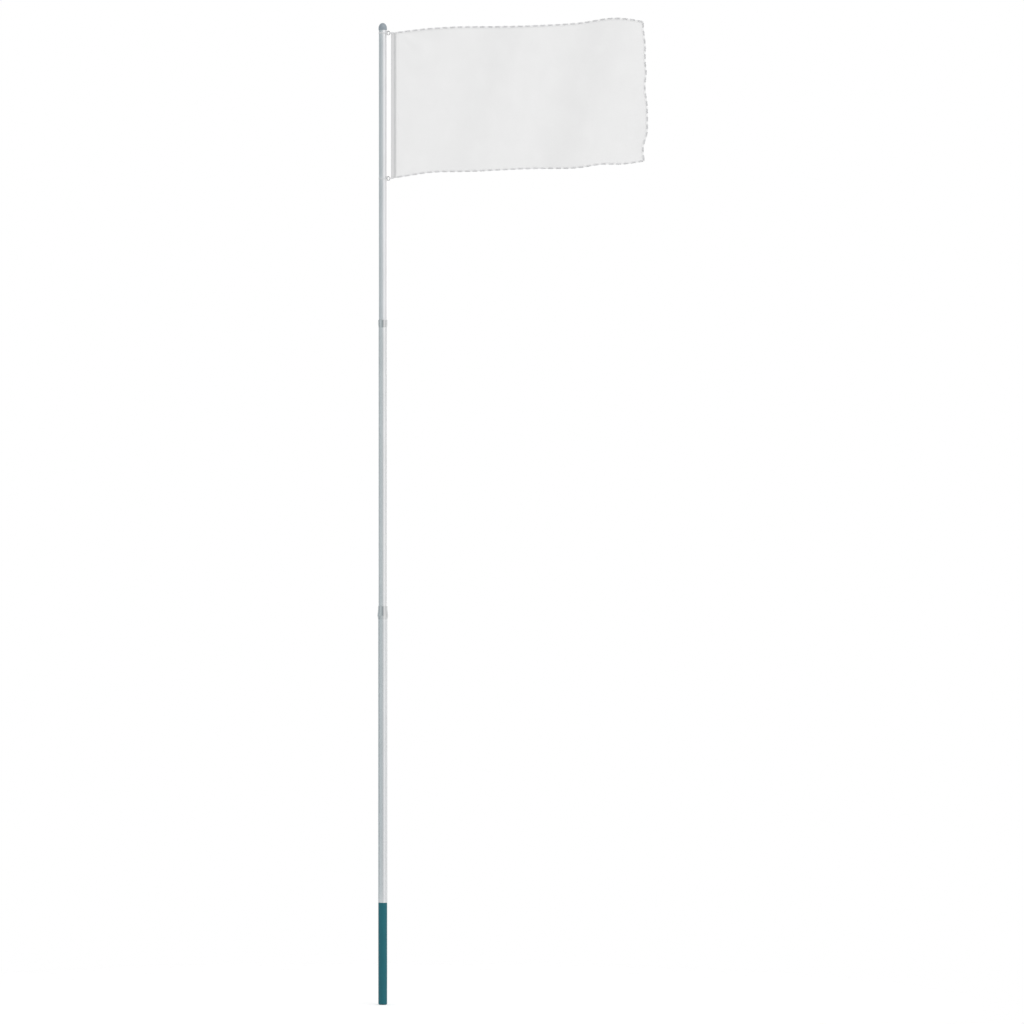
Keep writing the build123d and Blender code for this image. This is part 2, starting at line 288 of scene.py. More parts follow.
def turned_points(outline):
    """An outline of radius and height, at each step round the pole's axis."""
    points = []
    for i in range(TURN_SEGMENTS):
        turn = 2 * math.pi * i / TURN_SEGMENTS
        points += [(r * math.cos(turn), r * math.sin(turn), z) for r, z in outline]
    return points


def rounded_rim(inner, outer, height, upward):
    """Half a circle of points over a tube's rim, from the outer wall to the inner one."""
    middle = (inner + outer) / 2
    half = (outer - inner) / 2
    sign = 1 if upward else -1
    points = []
    for i in range(2 * RIM_STEPS + 1):
        turn = math.pi * i / (2 * RIM_STEPS)
        points.append((middle + half * math.cos(turn), height + sign * half * (math.sin(turn) - 1)))
    return points if upward else points[::-1]


def smooth_tube(name, node, wall):
    """A round tube in the place of the CAD's faceted one."""
    low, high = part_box(node)
    outer = high.x
    inner = outer - wall
    first, length = low.z + wall / 2, high.z - low.z - wall
    rise = [first + length * i / TUBE_RINGS for i in range(1, TUBE_RINGS)]
    outline = rounded_rim(inner, outer, low.z, False)
    outline += [(outer, z) for z in rise]
    outline += rounded_rim(inner, outer, high.z, True)
    outline += [(inner, z) for z in rise[::-1]]
    return add_mesh(name, turned_points(outline), ring_faces(TURN_SEGMENTS, len(outline), True))


def smooth_cap(name, node):
    """The cap as a fine solid of revolution: a dome on a short skirt, with a socket below."""
    low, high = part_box(node)
    shoulder = high.z - CAP_DOME
    ceiling = low.z + CAP_SOCKET_DEPTH
    outline = []
    for i in range(1, CAP_DOME_STEPS + 1):
        turn = math.pi / 2 * i / CAP_DOME_STEPS
        outline.append((high.x * math.sin(turn), shoulder + CAP_DOME * math.cos(turn)))
    outline += rounded_rim(high.x - 2 * CAP_HEM, high.x, low.z, False)[::-1]
    outline += [(CAP_SOCKET_RADIUS, low.z), (CAP_SOCKET_RADIUS, ceiling)]
    size = len(outline)
    points = [(0.0, 0.0, high.z), (0.0, 0.0, ceiling)] + turned_points(outline)
    faces = []
    for i in range(TURN_SEGMENTS):
        here, there = 2 + i * size, 2 + (i + 1) % TURN_SEGMENTS * size
        faces.append((0, here, there))
        faces.append((1, there + size - 1, here + size - 1))
        faces += [(here + j, here + j + 1, there + j + 1, there + j) for j in range(size - 1)]
    cap = add_mesh(name, points, faces)
    cap.data.set_sharp_from_angle(angle=math.radians(CAP_SHARP_ANGLE))
    return cap


def smooth_curve(points):
    """A natural cubic curve through the points: from a share of its chords' length to a point."""
    places = np.array(points, float)
    chords = np.hypot(*np.diff(places, axis=0).T)
    knots = np.concatenate([[0.0], np.cumsum(chords)])
    count = len(places)
    system = np.eye(count)
    right = np.zeros((count, 2))
    for i in range(1, count - 1):
        before, after = chords[i - 1], chords[i]
        system[i, i - 1 : i + 2] = before, 2 * (before + after), after
        right[i] = 6 * ((places[i + 1] - places[i]) / after - (places[i] - places[i - 1]) / before)
    bends = np.linalg.solve(system, right)

    def at(share):
        run = min(max(share, 0.0), 1.0) * knots[-1]
        i = min(int(np.searchsorted(knots, run, side="right")) - 1, count - 2)
        span = chords[i]
        a, b = (knots[i + 1] - run) / span, (run - knots[i]) / span
        bend = ((a**3 - a) * bends[i] + (b**3 - b) * bends[i + 1]) * span**2 / 6
        return a * places[i] + b * places[i + 1] + bend

    return at


top_edge = smooth_curve(CLOTH_TOP_EDGE)
fly_edge = smooth_curve(CLOTH_FLY_EDGE)
bottom_edge = smooth_curve(CLOTH_BOTTOM_EDGE)

# The edges in their order round the cloth, and whether one runs backward there
FREE_EDGES = ((top_edge, False), (fly_edge, False), (bottom_edge, True))


def ease(value):
    """0 to 1 with level ends."""
    value = min(max(value, 0.0), 1.0)
    return value * value * (3 - 2 * value)


def corner_folds(x, z):
    """The depth of the folds that fan out from the cloth's two tied corners."""
    depth = 0.0
    for corner, turn in ((HOIST_TOP, -1), (HOIST_LOW, 1)):
        across, up = x - corner[0], (z - corner[1]) * turn
        reach = math.hypot(across, up)
        fan = math.sin(CORNER_FOLDS * math.atan2(up, max(across, TINY)))
        depth += fan * ease(reach / CORNER_CALM) * math.exp(-reach / CORNER_FOLD_SPREAD)
    return CORNER_FOLD_REACH * depth


def cloth_depth(x, z):
    """How far the cloth stands behind the pole's plane at a place in it."""
    run = max(0.0, x - RIPPLE_LEAN * (z - RIPPLE_FOOT) - RIPPLE_START)
    growth = min(1.0, run / RIPPLE_LENGTH)
    ripple = RIPPLE_REACH * growth * math.sin(2 * math.pi * run / RIPPLE_LENGTH)
    wander = noise.noise(Vector((x, 0.0, z)) / DRIFT_SIZE)
    phase = 2 * math.pi * (x - CREASE_LEAN * z) / CREASE_LENGTH + CREASE_WANDER * wander
    detail = DRIFT_REACH * wander + CREASE_REACH * math.sin(phase) + corner_folds(x, z)
    return ripple + detail * ease((x - HOIST_TOP[0]) / CALM_WIDTH)


def on_cloth(x, z, lift=0.0):
    """A point on the cloth, lifted from its middle along its normal."""
    step = SLOPE_STEP
    slope_x = (cloth_depth(x + step, z) - cloth_depth(x - step, z)) / (2 * step)
    slope_z = (cloth_depth(x, z + step) - cloth_depth(x, z - step)) / (2 * step)
    normal = Vector((-slope_x, 1.0, -slope_z)).normalized()
    return Vector((x, cloth_depth(x, z), z)) + normal * lift


def flag_cloth():
    """The cloth: a grid between the flag's edges, with a real thickness."""
    hoist_top, hoist_low = np.array(HOIST_TOP), np.array(HOIST_LOW)
    fly_top, fly_low = np.array(CLOTH_TOP_EDGE[-1]), np.array(CLOTH_BOTTOM_EDGE[-1])
    points = []
    for i in range(CLOTH_COLUMNS + 1):
        u = i / CLOTH_COLUMNS
        over, under = top_edge(u), bottom_edge(u)
        for j in range(CLOTH_ROWS + 1):
            v = j / CLOTH_ROWS
            left = hoist_low + (hoist_top - hoist_low) * v
            right = fly_edge(1 - v)
            flat = (1 - v) * under + v * over + (1 - u) * left + u * right
            flat -= (1 - u) * (1 - v) * hoist_low + u * (1 - v) * fly_low
            flat -= (1 - u) * v * hoist_top + u * v * fly_top
            points.append(Vector((flat[0], cloth_depth(*flat), flat[1])))
    row = CLOTH_ROWS + 1
    faces = [
        (i * row + j, (i + 1) * row + j, (i + 1) * row + j + 1, i * row + j + 1)
        for i in range(CLOTH_COLUMNS)
        for j in range(CLOTH_ROWS)
    ]
    cloth = add_mesh("cloth", points, faces)
    thicken = cloth.modifiers.new("thickness", "SOLIDIFY")
    thicken.thickness = CLOTH_THICKNESS
    thicken.offset = 0.0
    return cloth


def walk(edges, step, trim=0.0):
    """Places along joined edges at an even step, with the way ahead and the way into the cloth."""
    path = []
    for curve, backward in edges:
        ends = (1.0, 0.0) if backward else (0.0, 1.0)
        shares = np.linspace(*ends, EDGE_SAMPLES)
        path += [curve(share) for share in (shares[1:] if path else shares)]
    path = np.array(path)
    runs = np.concatenate([[0.0], np.cumsum(np.hypot(*np.diff(path, axis=0).T))])
    count = round((runs[-1] - 2 * trim) / step) + 1
    even = np.linspace(trim, runs[-1] - trim, count)
    places = np.stack([np.interp(even, runs, path[:, k]) for k in range(2)], axis=1)
    ahead = np.gradient(places, axis=0)
    ahead /= np.linalg.norm(ahead, axis=1)[:, None]
    inward = np.stack([ahead[:, 1], -ahead[:, 0]], axis=1)
    return places, ahead, inward


def flag_hem():
    """The folded hem: a thicker band along the free edges."""
    places, _, inward = walk(FREE_EDGES, HEM_STEP)
    half = CLOTH_THICKNESS / 2
    outline = mirrored([
        (-HEM_ROLL, 0.0),
        (-HEM_ROLL / 2, 0.6 * HEM_LIFT),
        (1.5 * HEM_ROLL, HEM_LIFT),
        (HEM_WIDTH / 2, HEM_LIFT),
        (HEM_WIDTH - 2 * HEM_ROLL, HEM_LIFT),
        (HEM_WIDTH, (HEM_LIFT + half) / 2),
        (HEM_WIDTH + HEM_ROLL / 2, half),
    ])
    points = []
    for place, inside in zip(places, inward):
        for depth, lift in outline:
            points.append(on_cloth(*(place + inside * depth), lift))
    return add_mesh("hem", points, ring_faces(len(places), len(outline), False, capped=True))


def thread_rings(path, radius, sides):
    """Rings of points round a short path of thread."""
    rings = []
    for i, spot in enumerate(path):
        ahead = path[min(i + 1, len(path) - 1)] - path[max(i - 1, 0)]
        along = ahead.normalized()
        across = along.orthogonal().normalized()
        up = along.cross(across)
        shrink = THREAD_END if i in (0, len(path) - 1) else 1.0
        for k in range(sides):
            turn = 2 * math.pi * k / sides
            rings.append(spot + (across * math.cos(turn) + up * math.sin(turn)) * radius * shrink)
    return rings


def threads(name, paths, radius, sides=THREAD_SIDES):
    """Many short threads as one mesh."""
    points, faces = [], []
    for path in paths:
        start = len(points)
        points += thread_rings(path, radius, sides)
        for face in ring_faces(len(path), sides, False, capped=True):
            faces.append(tuple(start + i for i in face))
    return add_mesh(name, points, faces)


def hem_bars():
    """Bars of overlock thread that wrap round the cloth's free edges."""
    front = [(share * BAR_DEPTH, HEM_LIFT + rise * BAR_THREAD) for share, rise in BAR_WRAP]
    wrap = mirrored(front + [(-BAR_OVERHANG, 0.0)])
    paths = []
    for edge in FREE_EDGES:
        places, _, inward = walk([edge], BAR_SPACING)
        period = len(places) / round(len(places) * BAR_SPACING / BAR_PERIOD)
        gap = (period - BAR_LENGTH / BAR_SPACING) / 2
        for i, (place, inside) in enumerate(zip(places, inward)):
            if gap <= i % period <= period - gap:
                paths.append([on_cloth(*(place + inside * depth), lift) for depth, lift in wrap])
    return threads("hem_bars", paths, BAR_THREAD, BAR_SIDES)


def running_stitches(places, ahead, lift):
    """The paths of fine stitches on both faces of the cloth, one at each place."""
    paths = []
    for place, onward in zip(places, ahead):
        for side in (-1, 1):
            path = []
            for share, rise in STITCH_ARC:
                spot = place + onward * SEAM_STITCH * share
                path.append(on_cloth(*spot, side * (lift + rise * SEAM_THREAD)))
            paths.append(path)
    return paths


def hem_seam():
    """The hem's fine running stitches."""
    paths = []
    for edge in FREE_EDGES:
        places, ahead, inward = walk([edge], SEAM_STITCH + SEAM_GAP, trim=SEAM_INSET)
        paths += running_stitches(places + inward * SEAM_INSET, ahead, HEM_LIFT)
    return threads("hem_seam", paths, SEAM_THREAD)


def header_height(x, share, margin=0.0):
    """Height on the header at a distance from the pole, from its lower edge to its upper one."""
    across = (x - HEADER_LEFT) / (HEADER_RIGHT - HEADER_LEFT)
    low = cord_low.z + (HOIST_LOW[1] - cord_low.z) * across
    high = cord_high.z + (HOIST_TOP[1] - cord_high.z) * across
    return low + (high - low) * (margin + (1 - 2 * margin) * share)


def header():
    """The canvas header: a round cord in a fold, a neck, and a flat tape, all a little uneven."""
    centre = HEADER_LEFT + HEADER_CORD
    arc = [math.radians(a) for a in range(*HEADER_ARC)]
    front = [(centre + HEADER_CORD * math.cos(a), HEADER_CORD * math.sin(a)) for a in arc[::-1]]
    neck, neck_share = HEADER_NECK
    edge, edge_share = HEADER_EDGE_ROUND
    front += [
        (centre + neck * HEADER_CORD, HEADER_HALF * neck_share),
        (centre + HEADER_FLAT * HEADER_CORD, HEADER_HALF),
        ((centre + HEADER_RIGHT) / 2, HEADER_HALF),
        (HEADER_RIGHT - HEADER_EDGE, HEADER_HALF),
        (HEADER_RIGHT - edge, HEADER_HALF * edge_share),
        (HEADER_RIGHT, CLOTH_THICKNESS / 2),
    ]
    outline = mirrored(front)
    across, up = HEADER_SWELLS
    points = []
    for i in range(HEADER_ROWS + 1):
        for x, y in outline:
            z = header_height(x, i / HEADER_ROWS)
            place = Vector((x * across, math.copysign(1.0, y), z * up))
            points.append(Vector((x, y * (1 + HEADER_SWELL * noise.noise(place)), z)))
    return add_mesh("header", points, ring_faces(HEADER_ROWS + 1, len(outline), False, capped=True))


def header_zigzag():
    """The dark zigzag seam down the header, on both faces."""
    count = round((cord_high.z - cord_low.z) / ZIGZAG_PITCH)
    paths = []
    for side in (-1, 1):
        lift = side * (HEADER_HALF + ZIGZAG_RISE * ZIGZAG_THREAD)
        for i in range(count):
            ends = []
            for step in (i, i + 1):
                x = HEADER_RIGHT - ZIGZAG_INSET + (step % 2 - 0.5) * ZIGZAG_WIDTH
                ends.append(Vector((x, lift, header_height(x, step / count, ZIGZAG_MARGIN))))
            paths.append([ends[0], ends[0].lerp(ends[1], 0.5), ends[1]])
    return threads("header_zigzag", paths, ZIGZAG_THREAD)


def header_fell():
    """The flat felled seam beside the header, where the cloth is folded and doubled."""
    half = CLOTH_THICKNESS / 2
    outline = mirrored([
        (-FELL_TUCK, half),
        (FELL_SLOPE - FELL_TUCK, FELL_LIFT),
        (FELL_WIDTH - FELL_ROUND, FELL_LIFT),
        (FELL_WIDTH, (FELL_LIFT + half) / 2),
        (FELL_WIDTH + FELL_FOOT, half),
    ])
    points = []
    for i in range(HEADER_ROWS + 1):
        for depth, lift in outline:
            x = HEADER_RIGHT + depth
            points.append(on_cloth(x, header_height(x, i / HEADER_ROWS, FELL_MARGIN), lift))
    return add_mesh("fell", points, ring_faces(HEADER_ROWS + 1, len(outline), False, capped=True))


def fell_stitches():
    """The two rows of stitches down the felled seam."""
    paths = []
    for inset in FELL_STITCHES:
        x = HEADER_RIGHT + inset
        low, high = (header_height(x, end, FELL_STITCH_MARGIN) for end in (0, 1))
        count = round((high - low) / (SEAM_STITCH + SEAM_GAP))
        places = np.array([(x, low + (high - low) * i / count) for i in range(count + 1)])
        ahead = np.tile((0.0, 1.0), (count + 1, 1))
        paths += running_stitches(places, ahead, FELL_LIFT)
    return threads("fell_stitches", paths, SEAM_THREAD)


def tab_frame(place):
    """A tab's origin at the lug of its swivel ring, the way along it, and the way up it."""
    low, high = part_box(f"{place}_swivel_ring")
    lean = math.radians(LINK_LEANS[place])
    origin = Vector((LUG_REACH, 0.0, (low.z + high.z) / 2))
    along = Vector((math.cos(lean), 0.0, math.sin(lean)))
    up = Vector((-math.sin(lean), 0.0, math.cos(lean)))
    return origin, along, up


def webbing_tab(place):
    """A strap folded round the link's far wire and sewn to both faces of the header."""
    origin, along, up = tab_frame(place)
    gap = TAB_EYE + TAB_THICKNESS / 2
    over_cord = HEADER_CORD + TAB_OVER_CORD * TAB_THICKNESS
    on_tape = HEADER_HALF + TAB_ON_TAPE * TAB_THICKNESS
    cord_run = (HEADER_LEFT + HEADER_CORD - LUG_REACH) - LINK_SPAN
    arc = [math.radians(a) for a in range(*TAB_EYE_ARC)]
    half = [(gap * math.cos(a), gap * math.sin(a)) for a in arc[::-1]]
    half += [
        (TAB_WAIST * cord_run, (gap + over_cord) / 2),
        (cord_run, over_cord),
        (cord_run + TAB_SLOPE[0] * HEADER_CORD, (over_cord + on_tape) / 2),
        (cord_run + TAB_SLOPE[1] * HEADER_CORD, on_tape),
        (TAB_REACH, on_tape),
    ]
    line = [(x, -y) for x, y in half[:0:-1]] + half
    points = []
    for i, (x, y) in enumerate(line):
        before, after = line[max(i - 1, 0)], line[min(i + 1, len(line) - 1)]
        ahead = Vector((after[0] - before[0], after[1] - before[1])).normalized()
        aside = Vector((-ahead.y, ahead.x)) * TAB_THICKNESS / 2
        for edge, out in STRAP_SECTION:
            run, depth = LINK_SPAN + x + out * aside.x, y + out * aside.y
            points.append(origin + along * run + Vector((0, depth, 0)) + up * edge * TAB_HALF_WIDTH)
    faces = ring_faces(len(line), len(STRAP_SECTION), False, capped=True)
    return add_mesh(f"{place}_webbing", points, faces)


def tab_stitches(place):
    """The box of stitches with a cross that holds a tab on the header, on both faces."""
    origin, along, up = tab_frame(place)
    left, right = LINK_SPAN + TAB_BOX_START, LINK_SPAN + TAB_REACH - TAB_BOX_STOP
    rise = TAB_BOX_RISE * TAB_HALF_WIDTH
    corners = [(left, -rise), (right, -rise), (right, rise), (left, rise)]
    lines = [(corners[i], corners[(i + 1) % 4]) for i in range(4)]
    lines += [(corners[0], corners[2]), (corners[1], corners[3])]
    lift = HEADER_HALF + TAB_BOX_LIFT * TAB_THICKNESS
    paths = []
    for (x0, z0), (x1, z1) in lines:
        count = max(2, round(math.hypot(x1 - x0, z1 - z0) / TAB_STITCH))
        for i in range(count):
            for side in (-1, 1):
                path = []
                for step, bulge in TAB_STITCH_ARC:
                    share = (i + step) / count
                    spot = origin + along * (x0 + (x1 - x0) * share) + up * (z0 + (z1 - z0) * share)
                    path.append(spot + Vector((0, side * (lift + bulge), 0)))
                paths.append(path)
    return threads(f"{place}_tab_stitches", paths, TAB_THREAD)


# Between these lie most values of a noise, and its colours and roughness follow it there
NOISE_SPAN = (0.3, 0.7)

# Sizes of the features in the finishes along the three axes: clouds of tone, and finer grain
METAL_CLOUDS = (0.05, 0.05, 0.12)
LENGTHWISE_LINES = (0.0007, 0.0007, 0.35)
TURNED_LINES = (0.03, 0.03, 0.0004)
PLATED_GRAIN = (0.001, 0.001, 0.001)
PAINT_CLOUDS = (0.04, 0.04, 0.10)
PAINT_PEEL = (0.0022, 0.0022, 0.0022)
PLASTIC_CLOUDS = (0.02, 0.02, 0.02)
PLASTIC_GRAIN = (0.0006, 0.0006, 0.0006)
CLOTH_CLOUDS = (0.12, 0.12, 0.12)
THREAD_TWIST = (0.0005, 0.0005, 0.0005)

# Heights of their relief
DRAWN_RELIEF = 0.00003
PEEL_RELIEF = 0.00004
TWIST_RELIEF = 0.0002

# Roughness of the finishes, from their smoothest place to their roughest
DRAWN_ROUGHNESS = (0.36, 0.44)
TOP_TUBE_ROUGHNESS = (0.43, 0.51)
PAINT_ROUGHNESS = (0.38, 0.46)
CLOTH_ROUGHNESS = (0.80, 0.92)


def feed(tree, value, socket):
    """Gives a node's input a link from a socket, or a fixed value."""
    if isinstance(value, bpy.types.NodeSocket):
        tree.links.new(value, socket)
    else:
        socket.default_value = value


def calculate(tree, operation, *values):
    """The result of a Math node."""
    node = tree.nodes.new("ShaderNodeMath")
    node.operation = operation
    for value, socket in zip(values, node.inputs):
        feed(tree, value, socket)
    return node.outputs["Value"]


def spread(tree, source, span, low=0.0, high=1.0):
    """A value from low to high, as the source goes over its span."""
    node = tree.nodes.new("ShaderNodeMapRange")
    node.inputs["From Min"].default_value = span[0]
    node.inputs["From Max"].default_value = span[1]
    node.inputs["To Min"].default_value = low
    node.inputs["To Max"].default_value = high
    tree.links.new(source, node.inputs["Value"])
    return node.outputs["Result"]


def mix_colours(tree, share, first, second):
    """A colour from the first to the second, as the share goes from zero to one."""
    node = tree.nodes.new("ShaderNodeMix")
    node.data_type = "RGBA"
    feed(tree, share, node.inputs["Factor"])
    feed(tree, first, node.inputs["A"])
    feed(tree, second, node.inputs["B"])
    return node.outputs["Result"]


def mix_shaders(tree, share, first, second):
    """A shader from the first to the second, as the share goes from zero to one."""
    node = tree.nodes.new("ShaderNodeMixShader")
    for value, socket in zip((share, first, second), node.inputs):
        tree.links.new(value, socket)
    return node.outputs["Shader"]


def grain(tree, size, detail=3.0):
    """Noise whose features have a size in metres along each axis."""
    place = tree.nodes.new("ShaderNodeTexCoord")
    stretch = tree.nodes.new("ShaderNodeMapping")
    stretch.inputs["Scale"].default_value = [1 / s for s in size]
    pattern = tree.nodes.new("ShaderNodeTexNoise")
    pattern.inputs["Scale"].default_value = 1.0
    pattern.inputs["Detail"].default_value = detail
    tree.links.new(place.outputs["Object"], stretch.inputs["Vector"])
    tree.links.new(stretch.outputs["Vector"], pattern.inputs["Vector"])
    return pattern.outputs["Fac"]


def weave(tree, yarn):
    """Two crossed sets of yarns, of a width in metres, as one height."""
    place = tree.nodes.new("ShaderNodeTexCoord")
    heights = []
    for direction in ("X", "Z"):
        bands = tree.nodes.new("ShaderNodeTexWave")
        bands.bands_direction = direction
        bands.inputs["Scale"].default_value = math.pi / (10 * yarn)
        bands.inputs["Distortion"].default_value = 0.0
        tree.links.new(place.outputs["Object"], bands.inputs["Vector"])
        heights.append(bands.outputs["Fac"])
    return calculate(tree, "ADD", *heights)


def blank_material(name):
    """A new node material, its tree and its shader."""
    made = bpy.data.materials.new(name)
    made.use_nodes = True
    return made, made.node_tree, made.node_tree.nodes["Principled BSDF"]


def colour_by(tree, shader, source, colour, dark, light=1.0):
    """Base colour from a darker to a lighter shade of a colour, as the source goes up."""
    ramp = tree.nodes.new("ShaderNodeValToRGB")
    for stop, place, factor in zip(ramp.color_ramp.elements, NOISE_SPAN, (dark, light)):
        stop.position = place
        stop.color = (*(min(1.0, factor * c) for c in colour), 1.0)
    tree.links.new(source, ramp.inputs["Fac"])
    tree.links.new(ramp.outputs["Color"], shader.inputs["Base Color"])


def roughen_by(tree, shader, source, smoothest, roughest):
    """Roughness between two values, as the source goes up."""
    roughness = spread(tree, source, NOISE_SPAN, smoothest, roughest)
    tree.links.new(roughness, shader.inputs["Roughness"])


def relief(tree, shader, height, distance, strength, under=None):
    """Bump of a real height in metres, on top of another bump if one is given."""
    bump = tree.nodes.new("ShaderNodeBump")
    bump.inputs["Strength"].default_value = strength
    bump.inputs["Distance"].default_value = distance
    tree.links.new(height, bump.inputs["Height"])
    if under is not None:
        tree.links.new(under, bump.inputs["Normal"])
    tree.links.new(bump.outputs["Normal"], shader.inputs["Normal"])
    return bump.outputs["Normal"]


def metal(name, colour, roughness, line_size, line_height):
    """Metal with fine lines from drawing or turning, and faint cloudiness."""
    made, tree, shader = blank_material(name)
    shader.inputs["Metallic"].default_value = 1.0
    lines = grain(tree, line_size, detail=4.0)
    colour_by(tree, shader, grain(tree, METAL_CLOUDS), colour, dark=0.96)
    roughen_by(tree, shader, lines, *roughness)
    relief(tree, shader, lines, line_height, strength=0.4)
    return made


def drawn(name, colour, roughness=DRAWN_ROUGHNESS):
    """A tube's satin metal, with the lines of drawing along it."""
    return metal(name, colour, roughness, LENGTHWISE_LINES, DRAWN_RELIEF)


def paint(name, colour):
    """Sprayed paint with a faint orange peel."""
    made, tree, shader = blank_material(name)
    shader.inputs["Specular IOR Level"].default_value = 0.3
    clouds = grain(tree, PAINT_CLOUDS)
    colour_by(tree, shader, clouds, colour, dark=0.93, light=1.05)
    roughen_by(tree, shader, clouds, *PAINT_ROUGHNESS)
    relief(tree, shader, grain(tree, PAINT_PEEL, detail=1.0), PEEL_RELIEF, strength=0.5)
    return made


def moulded(name, colour, roughness, grain_height):
    """Moulded plastic with a fine texture."""
    made, tree, shader = blank_material(name)
    fine = grain(tree, PLASTIC_GRAIN, detail=2.0)
    colour_by(tree, shader, grain(tree, PLASTIC_CLOUDS), colour, dark=0.95, light=1.03)
    roughen_by(tree, shader, fine, *roughness)
    relief(tree, shader, fine, grain_height, strength=0.5)
    return made


def woven(name, colour, yarn, yarn_height):
    """Plain woven cloth: crossed yarns, slubs and faint clouding."""
    made, tree, shader = blank_material(name)
    shader.inputs["Specular IOR Level"].default_value = 0.15
    shader.inputs["Sheen Weight"].default_value = 0.15
    shader.inputs["Sheen Roughness"].default_value = 0.5
    slubs = grain(tree, (8 * yarn, 8 * yarn, 1.5 * yarn), detail=2.0)
    colour_by(tree, shader, grain(tree, CLOTH_CLOUDS), colour, dark=0.985)
    roughen_by(tree, shader, slubs, *CLOTH_ROUGHNESS)
    yarns = relief(tree, shader, weave(tree, yarn), yarn_height, strength=0.5)
    relief(tree, shader, slubs, 2 * yarn_height, strength=0.3, under=yarns)
    return made


def sewing_thread(name, colour):
    """Twisted sewing thread."""
    made, tree, shader = blank_material(name)
    shader.inputs["Roughness"].default_value = 0.7
    twist = grain(tree, THREAD_TWIST, detail=1.0)
    colour_by(tree, shader, twist, colour, dark=0.85, light=1.1)
    relief(tree, shader, twist, TWIST_RELIEF, strength=0.5)
    return made


# A finish for each of the record's material slots, and those that only this scene needs
finishes = {
    "tube_metal": drawn("drawn aluminium", (0.74, 0.745, 0.75)),
    "collar_metal": metal(
        "turned collar",
        (0.64, 0.645, 0.65),
        roughness=(0.09, 0.13),
        line_size=TURNED_LINES,
        line_height=0.00001,
    ),
    "ground_paint": paint("teal paint", (0.006, 0.116, 0.146)),
    "cap_plastic": moulded(
        "cap plastic", (0.28, 0.325, 0.36), roughness=(0.24, 0.32), grain_height=0.00001
    ),
    "guide_plastic": moulded(
        "guide plastic", (0.03, 0.03, 0.035), roughness=(0.45, 0.6), grain_height=0.00003
    ),
    "ring_plastic": moulded(
        "ring plastic", (0.65, 0.66, 0.67), roughness=(0.40, 0.5), grain_height=0.00003
    ),
    "link_steel": metal(
        "dark plated wire",
        (0.20, 0.205, 0.21),
        roughness=(0.28, 0.38),
        line_size=PLATED_GRAIN,
        line_height=0.00002,
    ),
    "webbing": woven("webbing", (0.72, 0.72, 0.73), yarn=0.0009, yarn_height=0.00018),
    "header_fabric": woven(
        "header canvas", (0.70, 0.70, 0.705), yarn=0.0008, yarn_height=0.00015
    ),
    "flag_fabric": woven("flag cloth", (0.85, 0.85, 0.85), yarn=0.0006, yarn_height=0.00006),
}
top_tube_metal = drawn("drawn top tube", (0.735, 0.74, 0.75), roughness=TOP_TUBE_ROUGHNESS)
# The lower tube's metal is a darker copy of the tube metal: partly the tube's own darker tone,
# partly painted shade that offsets the light the floor throws on it
lower_tube_metal_with_painted_shade = drawn("drawn lower tube with painted shade", (0.71, 0.72, 0.73))
bar_thread = sewing_thread("bar thread", (0.81, 0.81, 0.82))
seam_thread = sewing_thread("seam thread", (0.74, 0.74, 0.74))
zigzag_thread = sewing_thread("zigzag thread", (0.65, 0.675, 0.67))


def dress(piece, body, slot_name, material, *nodes):
    """Gives a new piece its finish and its body, and hides the CAD nodes that it stands for."""
    piece.data.materials.append(material)
    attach(piece, body)
    if nodes:
        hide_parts(*nodes)
    return piece


node_slots = {part["node"]: part["material_slot"] for part in frame["record"]["subparts"]}
for node, piece in frame["nodes"].items():
    piece.material_slots[0].material = finishes[node_slots[node]]

for node, wall, body, finish in (
    ("ground_tube", GROUND_TUBE_WALL, "base", finishes["ground_paint"]),
    ("lower_tube", LOWER_TUBE_WALL, "base", lower_tube_metal_with_painted_shade),
    ("middle_tube", UPPER_TUBE_WALL, "middle", finishes["tube_metal"]),
    ("top_tube", UPPER_TUBE_WALL, "top", top_tube_metal),
):
    dress(smooth_tube(f"{node}_smooth", node, wall), body, node_slots[node], finish, node)

cap = smooth_cap("top_cap_smooth", "top_cap")
dress(cap, "top", "cap_plastic", finishes["cap_plastic"], "top_cap")

cloth = dress(flag_cloth(), "flag", "flag_fabric", finishes["flag_fabric"], "flag_cloth")
hem = dress(flag_hem(), "flag", "flag_fabric", finishes["flag_fabric"])
bars = dress(hem_bars(), "flag", "flag_fabric", bar_thread)
seam = dress(hem_seam(), "flag", "flag_fabric", seam_thread)
dress(header(), "flag", "header_fabric", finishes["header_fabric"], "header_tape", "header_cord")
dress(header_zigzag(), "flag", "header_fabric", zigzag_thread)
fell = dress(header_fell(), "flag", "flag_fabric", finishes["flag_fabric"])
fell_seam = dress(fell_stitches(), "flag", "flag_fabric", seam_thread)
for place in ("upper", "lower"):
    dress(webbing_tab(place), "flag", "webbing", finishes["webbing"], f"{place}_tab")
    dress(tab_stitches(place), "flag", "webbing", seam_thread)


# The floor: half its side, the distances between which it fades out, its colour and roughness, and
# the light of its own that brings it up to white
FLOOR_HALF = 4.0
FLOOR_FADE = (1.0, 3.8)
FLOOR_COLOUR = (0.80, 0.80, 0.80, 1.0)
FLOOR_ROUGHNESS = 0.9
FLOOR_LIFT = 0.25
WHITE = (1.0, 1.0, 1.0, 1.0)


def seen_rays(tree, *kinds):
    """One for rays of any of the kinds, and zero for the others."""
    ray = tree.nodes.new("ShaderNodeLightPath")
    total = ray.outputs[kinds[0]]
    for kind in kinds[1:]:
        total = calculate(tree, "MAXIMUM", total, ray.outputs[kind])
    return total


